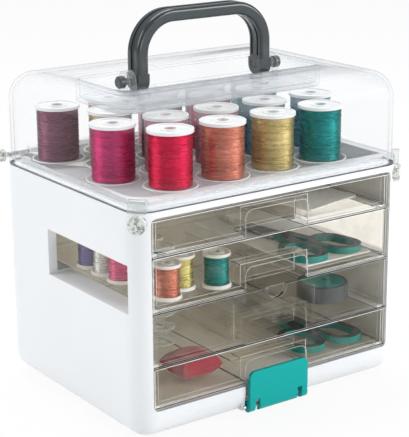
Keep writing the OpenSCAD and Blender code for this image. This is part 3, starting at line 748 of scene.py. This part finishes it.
class THREADBOX_OT_case(bpy.types.Operator):
    """Gives the white case, its feet, runners and tray their finish"""

    bl_idname = "threadbox.case"
    bl_label = "Finish the case"

    def execute(self, context):
        s = context.scene.threadbox_case
        white = moulded_plastic("case_white", s.white)
        inner = moulded_plastic("runner_white", toned(s.white, 0.97), roughness=0.42)
        tray = moulded_plastic("tray_white", s.tray, roughness=0.3)
        wear(white, "case_shell", "case_front", "case_hinge_knuckles")
        wear(inner, "drawer_runners")
        wear(tray, "spool_tray")
        wear(rubber("foot_rubber", (0.02, 0.022, 0.024)), "case_feet")
        wear(metal("rod_steel", (0.72, 0.73, 0.74)), "latch_rod")
        return {"FINISHED"}


class THREADBOX_OT_seam(bpy.types.Operator):
    """Lays a dark band in the seam between the case and the lid"""

    bl_idname = "threadbox.seam"
    bl_label = "Lay the dark seam band"

    def execute(self, context):
        centre_y = (CASE_LOW.y + CASE_HIGH.y) / 2
        half_w = (CASE_HIGH.x - CASE_LOW.x) / 2 - SEAM_BAND_INSET
        half_d = (CASE_HIGH.y - CASE_LOW.y) / 2 - SEAM_BAND_INSET
        low, high = CASE_HIGH.z, CASE_HIGH.z + SEAM_BAND_HEIGHT
        section = (
            (0.0, low), (0.0, high - SEAM_BAND_CHAMFER), (SEAM_BAND_CHAMFER, high), (SEAM_BAND_WIDTH, high),
            (SEAM_BAND_WIDTH, low))
        bm = bmesh.new()
        rings = []
        for inset, z in section:
            loop = corner_loop(half_w - inset, half_d - inset, SEAM_BAND_CORNER - inset)
            rings.append([bm.verts.new((x, y + centre_y, z)) for x, y in loop])
        count = len(rings[0])
        for a, b in zip(rings, rings[1:] + rings[:1]):
            for i in range(count):
                bm.faces.new((a[i], a[(i + 1) % count], b[(i + 1) % count], b[i]))
        bmesh.ops.recalc_face_normals(bm, faces=bm.faces)
        mesh = bpy.data.meshes.new("seam_band")
        bm.to_mesh(mesh)
        bm.free()
        smooth(mesh)
        # This dark band draws the dark line along the seam.
        piece("seam_band", mesh, rubber("seam_band_dark", (0.012, 0.013, 0.014)), "case")
        return {"FINISHED"}


class THREADBOX_OT_lid(bpy.types.Operator):
    """Rounds the edges of the clear lid and its fittings and gives them their finish"""

    bl_idname = "threadbox.lid"
    bl_label = "Finish the lid"

    def execute(self, context):
        s = context.scene.threadbox_clear
        lid = clear_plastic(
            "lid_clear", film=tuple(s.lid), sheet=(0.90, 0.92, 0.94), grazing=(0.28, 0.31, 0.34),
            least=s.lid_least, most=0.95, edge=5.5, crown=0.07)
        # Rounded edges: painted highlight where they turn up, painted shade below. The faces at the
        # lid's foot are painted dark to draw the seam line.
        rim = clear_rim("lid_rim", film=(0.95, 0.96, 0.97), colour=(0.66, 0.70, 0.73), share=0.28)
        seam = clear_rim("lid_seam", film=(0.6, 0.6, 0.6), colour=(0.03, 0.032, 0.035), share=0.55)
        knob = glass_knob(
            "knob_clear", film=(0.93, 0.95, 0.92), dark=(0.045, 0.04, 0.028),
            light=(0.92, 0.94, 0.91), share=0.50)
        tab = clear_plastic(
            "tab_clear", film=(0.95, 0.96, 0.95), sheet=(0.86, 0.88, 0.87),
            grazing=(0.45, 0.48, 0.46), least=0.05, most=0.9, edge=3.0)

        def under_side(face):
            height = face.calc_center_median().z
            return face.normal.z < -0.9 and height < LID_FOOT + LID_SEAM_DEPTH

        eased_copy("lid_shell", LID_EDGE, [lid, rim, seam], under_side)
        for node in ("lid_hinge_knuckles", "lid_corner_tabs", "handle_lugs"):
            eased_copy(node, FITTING_EDGE, [tab, rim, tab])
        eased_copy("corner_buttons", BUTTON_EDGE, [knob, knob, knob], segments=4)
        eased_copy("hinge_rod", ROD_EDGE, [knob, knob, knob])
        return {"FINISHED"}


class THREADBOX_OT_drawers(bpy.types.Operator):
    """Rounds the edges of the four clear drawers and gives them their smoky finish"""

    bl_idname = "threadbox.drawers"
    bl_label = "Finish the drawers"

    def execute(self, context):
        s = context.scene.threadbox_clear
        smoke = clear_plastic(
            "drawer_smoke", film=tuple(s.smoke), sheet=(0.66, 0.64, 0.60),
            grazing=(0.42, 0.40, 0.36), least=s.smoke_least, most=0.85, edge=7.0, mottle=0.03)
        # Rounded edges: painted highlight where they face front or back, painted shade elsewhere.
        rim = clear_rim(
            "drawer_rim", film=(0.92, 0.91, 0.89), colour=(0.97, 0.965, 0.95), share=0.72,
            shade=0.9, fronts=True)
        # Painted shade: the top and bottom edges of the drawer fronts go near black, as the shade
        # in the gaps between the drawers.
        dark = clear_rim(
            "drawer_gap_shade", film=(0.25, 0.22, 0.19), colour=(0.025, 0.021, 0.018), share=0.8)

        def panel_edge(face):
            depth = face.calc_center_median().y
            return abs(face.normal.z) > 0.7 and depth < CASE_LOW.y + DRAWER_PANEL_DEPTH

        for node in ("drawer_1", "drawer_2", "drawer_3", "drawer_4"):
            eased_copy(node, DRAWER_EDGE, [smoke, rim, dark], panel_edge)
        return {"FINISHED"}


class THREADBOX_OT_handle(bpy.types.Operator):
    """Gives the carrying handle, its inlay and its pins their finish"""

    bl_idname = "threadbox.handle"
    bl_label = "Finish the handle"

    def execute(self, context):
        s = context.scene.threadbox_case
        wear(grip_plastic("grip_slate", tuple(s.grip)), "handle_grip")
        wear(rubber("inlay_rubber", (0.012, 0.014, 0.015)), "handle_inlay")
        wear(moulded_plastic("pin_plastic", (0.06, 0.075, 0.08), roughness=0.3), "handle_pins")
        return {"FINISHED"}


class THREADBOX_OT_latch(bpy.types.Operator):
    """Gives the front latch its finish"""

    bl_idname = "threadbox.latch"
    bl_label = "Finish the latch"

    def execute(self, context):
        teal = moulded_plastic(
            "latch_teal", tuple(context.scene.threadbox_case.latch), roughness=0.38,
            grain=0.00003, shade=0.06, shine=0.2)
        wear(teal, "latch_plate")
        return {"FINISHED"}


class THREADBOX_OT_spools(bpy.types.Operator):
    """Winds the eighteen large spools of the tray"""

    bl_idname = "threadbox.spools"
    bl_label = "Wind the large spools"

    def execute(self, context):
        s = context.scene.threadbox_thread
        tree = winding_tree()
        wear(moulded_plastic("spool_white", (0.86, 0.86, 0.85), roughness=0.34), "spool_reels")
        for colour in ("mauve", "crimson", "magenta", "copper", "gold", "teal", "blue", "rose"):
            wind(
                tree, "thread_" + colour, "case", s.width, LARGE_CROSSINGS, s.steps,
                s.unevenness, getattr(s, colour))
        return {"FINISHED"}


class THREADBOX_OT_small_spools(bpy.types.Operator):
    """Winds the small spools of the second drawer"""

    bl_idname = "threadbox.small_spools"
    bl_label = "Wind the small spools"

    def execute(self, context):
        s = context.scene.threadbox_thread
        tree = winding_tree()
        reels = moulded_plastic("small_spool_white", (0.86, 0.86, 0.85), roughness=0.34)
        wear(reels, "small_reels")
        for colour in ("copper", "yellow", "teal", "lilac", "white", "pink"):
            wind(
                tree, "small_thread_" + colour, "second_drawer", s.small_width, SMALL_CROSSINGS,
                s.steps, s.unevenness * SMALL_UNEVENNESS, getattr(s, colour))
        return {"FINISHED"}


class THREADBOX_OT_tools(bpy.types.Operator):
    """Gives the scissors, the cards, the tape measure and the bobbins their finish"""

    bl_idname = "threadbox.tools"
    bl_label = "Finish the tools"

    def execute(self, context):
        steel = metal("blade_steel", (0.66, 0.67, 0.69), roughness=0.16)
        wear(steel, "upper_scissor_blades", "lower_scissor_blades")
        rings = two_shot_grip("ring_plastic", top=(0.05, 0.062, 0.075), side=(0.005, 0.27, 0.245))
        wear(rings, "upper_scissor_grips", "lower_scissor_grips")
        wear(paper("lace_card", (0.86, 0.86, 0.85)), "stitch_card")
        card = moulded_plastic(
            "plain_card", (0.88, 0.88, 0.88), roughness=0.55, grain=0.00004, shade=0.02)
        wear(card, "pattern_card")
        wear(moulded_plastic("tape_slate", (0.065, 0.075, 0.09), roughness=0.35), "tape_case")
        wear(moulded_plastic("tape_teal", (0.02, 0.30, 0.27), roughness=0.4), "tape_disc")
        bobbin = clear_plastic(
            "bobbin_clear", film=(0.96, 0.965, 0.965), sheet=(0.8, 0.82, 0.82),
            grazing=(0.4, 0.42, 0.42), least=0.1, most=0.9)
        rim = clear_rim("bobbin_rim", film=(0.9, 0.91, 0.91), colour=(0.8, 0.82, 0.82), share=0.5)
        eased_copy("bobbin_stack", BOBBIN_EDGE, [bobbin, rim, bobbin])
        return {"FINISHED"}


class THREADBOX_OT_pouch(bpy.types.Operator):
    """Sews the soft pouch in the bottom drawer"""

    bl_idname = "threadbox.pouch"
    bl_label = "Sew the pouch"

    def execute(self, context):
        mesh = pillow_mesh(*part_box("pink_pouch"))
        cotton = woven_cotton("pouch_cotton", (0.48, 0.045, 0.085))
        pad = piece("soft_pouch", mesh, cotton, "bottom_drawer", ["pink_pouch"])
        return {"FINISHED"}


class THREADBOX_OT_stage(bpy.types.Operator):
    """Sets the camera, the floor, the backdrop and the studio light"""

    bl_idname = "threadbox.stage"
    bl_label = "Set the stage"

    def execute(self, context):
        s = context.scene.threadbox_stage
        scene = context.scene
        scene.view_settings.view_transform = "Standard"
        scene.cycles.transparent_max_bounces = CLEAR_BOUNCES
        self.camera(scene, s)
        self.floor(scene, s)
        self.world(scene)
        for name, (place, target, width, height, watts) in LAMPS.items():
            lamp(scene, name, place, target, width, height, watts)
        return {"FINISHED"}

    def camera(self, scene, s):
        ahead = CAMERA_AHEAD.normalized()
        right = ahead.cross(Vector((0, 0, 1))).normalized()
        up = right.cross(ahead)
        c, n = math.cos(s.roll), math.sin(s.roll)
        turned_right = right * c + up * n
        turned_up = up * c - right * n
        data = bpy.data.cameras.new("photo_camera")
        data.lens = s.lens
        data.sensor_width = CAMERA_SENSOR
        data.clip_start = CAMERA_CLIP
        camera = bpy.data.objects.new("photo_camera", data)
        axes = Matrix((turned_right, turned_up, -ahead)).transposed().to_4x4()
        camera.matrix_world = Matrix.Translation(CAMERA_PLACE) @ axes
        scene.collection.objects.link(camera)
        scene.camera = camera

    def floor(self, scene, s):
        bm = bmesh.new()
        bmesh.ops.create_grid(bm, x_segments=8, y_segments=8, size=s.floor)
        mesh = bpy.data.meshes.new("studio_floor")
        bm.to_mesh(mesh)
        bm.free()
        floor = bpy.data.objects.new("studio_floor", mesh)
        floor.location.z = -FLOOR_DROP
        scene.collection.objects.link(floor)
        f = Finish("floor_white")
        seen = f.add("ShaderNodeLightPath", out="Is Camera Ray")
        shiny = f.add("ShaderNodeLightPath", out="Is Glossy Ray")
        cloud = f.noise(scale=3.0)
        tint = f.colour_mix(cloud, (0.86, 0.86, 0.86), (0.88, 0.88, 0.88))
        matt = f.solid(Base_Color=tint, Roughness=0.7)
        glow = f.add("ShaderNodeEmission", None, {"Color": (1, 1, 1), "Strength": 1.0})
        factor = ((seen + shiny) * FLOOR_GLOW).clamp()
        mesh.materials.append(f.surface_mix(factor, matt, glow))

    def world(self, scene):
        """A faintly blue sky lights the object, and the camera sees white."""
        world = bpy.data.worlds.new("studio_world")
        scene.world = world
        world.use_nodes = True
        tree = world.node_tree
        tree.nodes.clear()
        out = tree.nodes.new("ShaderNodeOutputWorld")
        mix = tree.nodes.new("ShaderNodeMixShader")
        sky = tree.nodes.new("ShaderNodeBackground")
        white = tree.nodes.new("ShaderNodeBackground")
        path = tree.nodes.new("ShaderNodeLightPath")
        sky.inputs["Color"].default_value = SKY_COLOUR
        sky.inputs["Strength"].default_value = SKY_STRENGTH
        white.inputs["Color"].default_value = (1, 1, 1, 1)
        white.inputs["Strength"].default_value = 1.0
        tree.links.new(path.outputs["Is Camera Ray"], mix.inputs[0])
        tree.links.new(sky.outputs[0], mix.inputs[1])
        tree.links.new(white.outputs[0], mix.inputs[2])
        tree.links.new(mix.outputs[0], out.inputs["Surface"])


def lamp(scene, name, place, target, width, height, watts):
    """A rectangular softbox aimed at a point."""
    data = bpy.data.lights.new(name, "AREA")
    data.shape = "RECTANGLE"
    data.size, data.size_y = width, height
    data.energy = watts
    obj = bpy.data.objects.new(name, data)
    obj.location = place
    aim = Vector(target) - Vector(place)
    obj.rotation_euler = aim.to_track_quat("-Z", "Y").to_euler()
    scene.collection.objects.link(obj)


STEPS = (
    THREADBOX_OT_stage, THREADBOX_OT_case, THREADBOX_OT_seam, THREADBOX_OT_lid,
    THREADBOX_OT_drawers, THREADBOX_OT_handle, THREADBOX_OT_latch, THREADBOX_OT_spools,
    THREADBOX_OT_small_spools, THREADBOX_OT_tools, THREADBOX_OT_pouch)

GROUPS = {
    "threadbox_case": ThreadBoxCase, "threadbox_clear": ThreadBoxClear,
    "threadbox_thread": ThreadBoxThread, "threadbox_stage": ThreadBoxStage}


class THREADBOX_PT_panel(bpy.types.Panel):
    """Lists the steps that dress the thread box, and their settings"""

    bl_label = "Thread box"
    bl_idname = "THREADBOX_PT_panel"
    bl_space_type = "VIEW_3D"
    bl_region_type = "UI"
    bl_category = "Thread box"

    def draw(self, context):
        for step in STEPS:
            self.layout.operator(step.bl_idname)
        for group in GROUPS:
            settings = getattr(context.scene, group)
            for name in settings.bl_rna.properties.keys():
                if name not in ("rna_type", "name"):
                    self.layout.prop(settings, name)


def register():
    for name, group in GROUPS.items():
        bpy.utils.register_class(group)
        setattr(bpy.types.Scene, name, PointerProperty(type=group))
    for step in STEPS:
        bpy.utils.register_class(step)
    bpy.utils.register_class(THREADBOX_PT_panel)


def unregister():
    bpy.utils.unregister_class(THREADBOX_PT_panel)
    for step in reversed(STEPS):
        bpy.utils.unregister_class(step)
    for name, group in GROUPS.items():
        delattr(bpy.types.Scene, name)
        bpy.utils.unregister_class(group)


def main():
    register()
    for step in STEPS:
        area, name = step.bl_idname.split(".")
        getattr(getattr(bpy.ops, area), name)()


if __name__ == "__main__":
    main()
